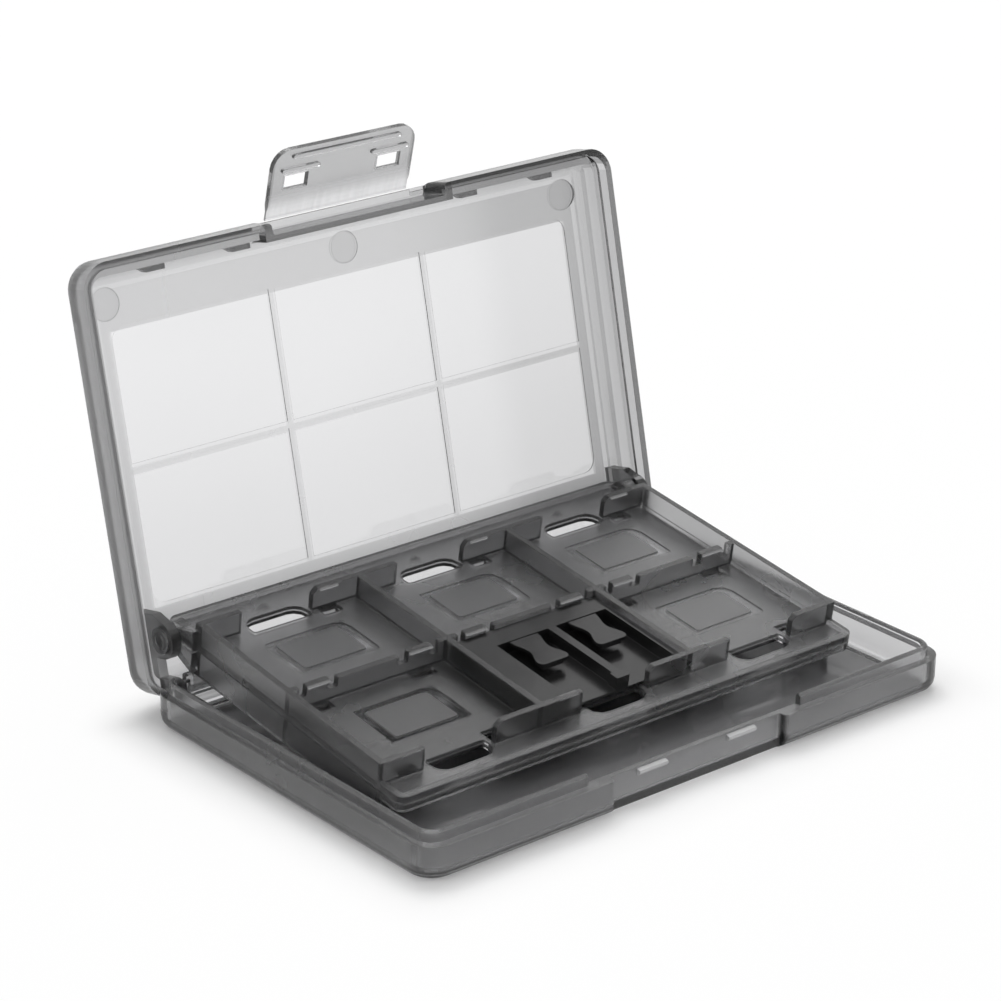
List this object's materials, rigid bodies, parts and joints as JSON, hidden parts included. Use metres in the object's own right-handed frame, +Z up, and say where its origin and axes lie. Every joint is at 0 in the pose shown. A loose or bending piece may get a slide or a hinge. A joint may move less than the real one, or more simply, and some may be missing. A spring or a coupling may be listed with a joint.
{
  "type": "game card case",
  "caption": "Flat folding case of smoky clear plastic: tray base, hinged lid with a latch flap, and a pivoting two-sided leaf of card pockets with a black memory-card holder.",
  "frame": {"origin": "centre of the base's flat underside", "axes": "+X along the hinge and the long side, +Y towards the hinge side, +Z up from the face the case rests on"},
  "size_m": [0.1178, 0.1, 0.0897],
  "materials": {
    "base": "smoky clear plastic, polished inside, satin outside",
    "lid": "smoky clear plastic, frosted border and bars, polished panes",
    "tray": "smoky clear plastic, satin pocket floors",
    "holder": "black, semi-gloss"
  },
  "bodies": {
    "base": {"base_shell": "base"},
    "lid": {"lid_shell": "lid", "pivot_bush_left": "lid", "pivot_bush_right": "lid"},
    "flap": {"latch_flap": "lid"},
    "leaf": {"tray_upper_half": "tray", "tray_lower_half": "tray", "card_holder": "holder"},
    "left_tongue": {"spring_tongue_left": "holder"},
    "right_tongue": {"spring_tongue_right": "holder"}
  },
  "joints": [
    {"name": "lid_hinge", "type": "hinge", "parent": "base", "child": "lid", "pos_m": [0, 0.0368, 0.0054], "axis": [-1, 0, 0], "range_deg": [-102.7, 0]},
    {"name": "flap_crease", "type": "hinge", "parent": "lid", "child": "flap", "pos_m": [0, 0.06154, 0.0765], "axis": [-1, 0, 0], "range_deg": [-64, 26], "stiffness_Nm_per_rad": 0.002},
    {"name": "leaf_turn", "type": "hinge", "parent": "lid", "child": "leaf", "pos_m": [0, 0.03963, 0.01394], "axis": [1, 0, 0], "range_deg": [-110.4, 0]},
    {"name": "left_tongue_flex", "type": "hinge", "parent": "leaf", "child": "left_tongue", "pos_m": [-0.0043, 0.00316, 0.01277], "axis": [-1, 0, 0], "range_deg": [0, 8], "stiffness_Nm_per_rad": 0.01},
    {"name": "right_tongue_flex", "type": "hinge", "parent": "leaf", "child": "right_tongue", "pos_m": [0.009, 0.00316, 0.01277], "axis": [-1, 0, 0], "range_deg": [0, 8], "stiffness_Nm_per_rad": 0.01}
  ],
  "couplings": [
    {"joint": "leaf_turn", "follows": "lid_hinge", "ratio": 1.0745}
  ]
}
